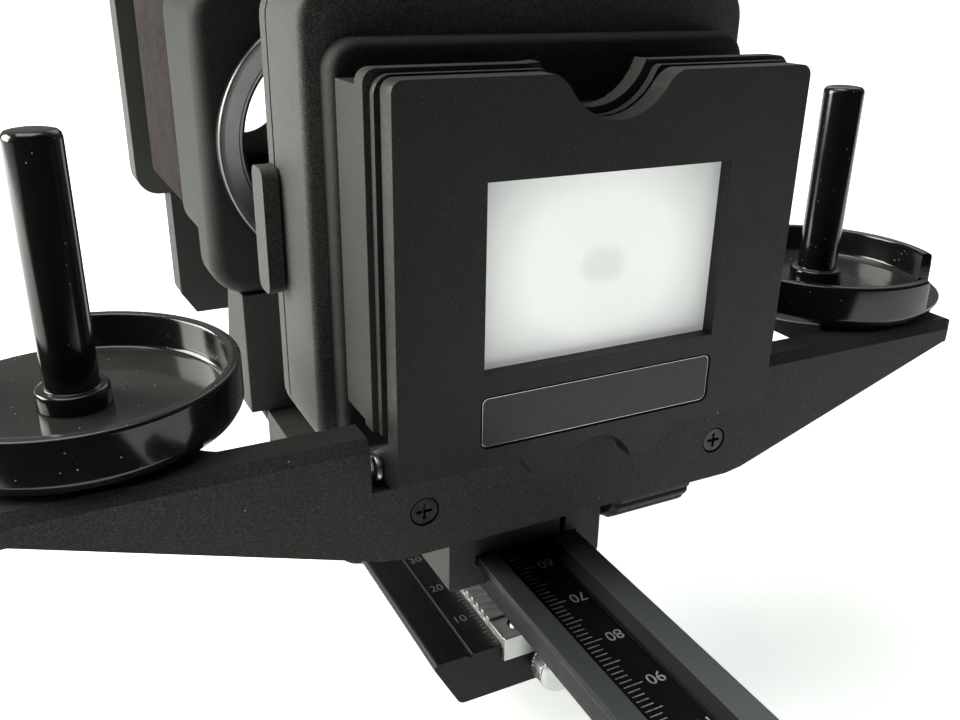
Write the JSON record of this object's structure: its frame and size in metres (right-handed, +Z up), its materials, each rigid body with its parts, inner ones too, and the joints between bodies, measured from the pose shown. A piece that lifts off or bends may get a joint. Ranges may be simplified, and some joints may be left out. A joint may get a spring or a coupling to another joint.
{
  "type": "slide copier on macro bellows unit",
  "caption": "Slide and film copier with gate, reel trays and crossbar, clamped on the rail of a macro bellows unit with lens and camera standards and a geared focusing rail.",
  "frame": {"origin": "middle of the tripod pad's underside, between its two sockets", "axes": "+Z up along the vertical, +Y along the rail from the slide gate towards the camera standard, +X to the right seen from the gate"},
  "size_m": [0.1706, 0.2922, 0.1245],
  "materials": {
    "casting": "fine crinkle black",
    "satin_plastic": "satin black",
    "gloss_plastic": "gloss black",
    "anodised": "black anodised",
    "nickel": "satin nickel",
    "black_screw": "blackened",
    "opal": "opal white",
    "plate_grey": "satin dark grey",
    "cloth": "brown-black bellows cloth"
  },
  "bodies": {
    "base": {"focus_rail": "anodised", "rack": "nickel", "rack_end_block": "nickel", "rack_end_plate": "nickel", "rack_end_screw": "nickel", "tripod_pad": "casting"},
    "stop_knob": {"rail_stop_knob": "nickel"},
    "rail": {"main_rail": "anodised", "rail_scale_strip": "black_screw", "rail_end_cap_front": "black_screw", "rail_end_cap_rear": "black_screw", "focus_carriage": "casting", "carriage_screw_front": "black_screw", "carriage_screw_rear": "black_screw", "pinion_cover": "black_screw"},
    "focus_pinion": {"pinion_shaft": "nickel", "focus_knob": "satin_plastic"},
    "copier": {"copier_foot": "casting", "crossbar": "casting", "crossbar_screw_left": "black_screw", "crossbar_screw_right": "black_screw", "holder_body": "casting", "stage_frame": "casting", "housing_shell": "casting", "shade_bellows": "cloth", "gate_pin_left": "nickel", "gate_pin_right": "nickel"},
    "copier_clamp": {"copier_clamp_knob": "satin_plastic"},
    "gate": {"gate_plate": "satin_plastic", "diffuser": "opal", "nameplate": "plate_grey"},
    "film_plate": {"pressure_plate": "satin_plastic"},
    "reel_left": {"tray_left": "gloss_plastic", "spindle_left": "gloss_plastic", "spindle_washer_left": "black_screw"},
    "reel_right": {"tray_right": "gloss_plastic", "spindle_right": "gloss_plastic", "spindle_washer_right": "black_screw"},
    "shade": {"shade_frame": "casting"},
    "camera_end": {"camera_standard": "casting", "camera_mount_ring": "nickel", "camera_standard_foot": "casting", "main_bellows": "cloth"},
    "camera_lock": {"camera_lock_knob": "satin_plastic"},
    "lens_end": {"lens_standard": "casting", "lens_mount_ring": "nickel", "lens_standard_foot": "casting"},
    "lens_lock": {"lens_lock_knob": "satin_plastic"},
    "lens_release": {"lens_release_button": "nickel"}
  },
  "joints": [
    {"name": "focus_slide", "type": "slide", "parent": "base", "child": "rail", "axis": [0, 1, 0], "range_m": [-0.04, 0.04]},
    {"name": "focus_knob_turn", "type": "hinge", "parent": "rail", "child": "focus_pinion", "pos_m": [0, 0, 0.0236], "axis": [1, 0, 0], "range_deg": [-606, 606]},
    {"name": "stop_knob_turn", "type": "hinge", "parent": "base", "child": "stop_knob", "pos_m": [0.0054, -0.067, 0.0131], "axis": [0, 1, 0], "range_deg": [-360, 360]},
    {"name": "copier_slide", "type": "slide", "parent": "rail", "child": "copier", "axis": [0, 1, 0], "range_m": [-0.045, 0.01]},
    {"name": "copier_clamp_turn", "type": "hinge", "parent": "copier", "child": "copier_clamp", "pos_m": [0.02, -0.063, 0.0437], "axis": [1, 0, 0], "range_deg": [-360, 360]},
    {"name": "gate_tilt", "type": "hinge", "parent": "copier", "child": "gate", "pos_m": [0, -0.0786, 0.0646], "axis": [1, 0, 0], "range_deg": [0, 10], "stiffness_Nm_per_rad": 0.15, "springref_deg": -11.46},
    {"name": "film_plate_tilt", "type": "hinge", "parent": "copier", "child": "film_plate", "pos_m": [0, -0.0786, 0.0646], "axis": [1, 0, 0], "range_deg": [0, 5]},
    {"name": "reel_left_turn", "type": "hinge", "parent": "copier", "child": "reel_left", "pos_m": [-0.0641, -0.0594, 0.07], "axis": [0, 0, 1], "continuous": true},
    {"name": "reel_right_turn", "type": "hinge", "parent": "copier", "child": "reel_right", "pos_m": [0.0641, -0.0594, 0.07], "axis": [0, 0, 1], "continuous": true},
    {"name": "shade_slide", "type": "slide", "parent": "copier", "child": "shade", "axis": [0, 1, 0], "range_m": [0, 0.04], "deforming": ["shade_bellows"]},
    {"name": "camera_slide", "type": "slide", "parent": "rail", "child": "camera_end", "axis": [0, 1, 0], "range_m": [0, 0.028]},
    {"name": "camera_lock_turn", "type": "hinge", "parent": "camera_end", "child": "camera_lock", "pos_m": [0.02, 0.1055, 0.0374], "axis": [1, 0, 0], "range_deg": [-360, 360]},
    {"name": "lens_slide", "type": "slide", "parent": "camera_end", "child": "lens_end", "axis": [0, 1, 0], "range_m": [-0.006, 0.025], "deforming": ["main_bellows"]},
    {"name": "lens_lock_turn", "type": "hinge", "parent": "lens_end", "child": "lens_lock", "pos_m": [0.02, 0.028, 0.0374], "axis": [1, 0, 0], "range_deg": [-360, 360]},
    {"name": "lens_release_press", "type": "slide", "parent": "lens_end", "child": "lens_release", "axis": [-1, 0, 0], "range_m": [0, 0.001], "stiffness_N_per_m": 500, "springref_m": -0.003}
  ],
  "couplings": [
    {"joint": "focus_knob_turn", "follows": "focus_slide", "rad_per_m": -261.8},
    {"joint": "film_plate_tilt", "follows": "gate_tilt", "ratio": 0.5}
  ]
}
